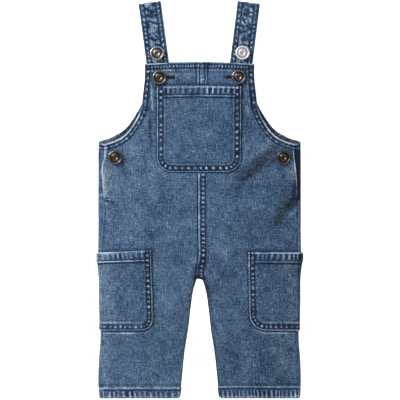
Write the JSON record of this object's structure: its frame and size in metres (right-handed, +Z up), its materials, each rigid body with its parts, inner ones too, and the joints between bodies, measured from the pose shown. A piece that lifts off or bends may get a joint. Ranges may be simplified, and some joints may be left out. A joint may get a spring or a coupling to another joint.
{
  "type": "kids dungarees",
  "caption": "Small denim dungarees laid flat, with a bib and patch pocket, buttoned shoulder straps, side pockets and short straight legs.",
  "frame": {"origin": "centre of the laid-out garment's outline, on the surface it lies on", "axes": "+Z up out of the garment's front, +Y from the leg hems towards the straps, +X to the viewer's right"},
  "size_m": [0.2488, 0.4774, 0.0119],
  "materials": {
    "denim": "washed mid-blue cotton denim, twill weave, pale on raised edges",
    "metal": "antique nickel shank buttons with a darker brownish dished centre"
  },
  "bodies": {
    "root": {"front_left": "denim", "front_right": "denim", "back_left": "denim", "back_right": "denim", "strap_left": "denim", "strap_right": "denim", "bib_pocket": "denim", "side_pocket_left": "denim", "side_pocket_right": "denim", "button_bib_left": "metal", "button_bib_right": "metal", "button_strap_left": "metal", "button_strap_right": "metal", "button_side_left": "metal", "button_side_right": "metal"}
  },
  "joints": []
}
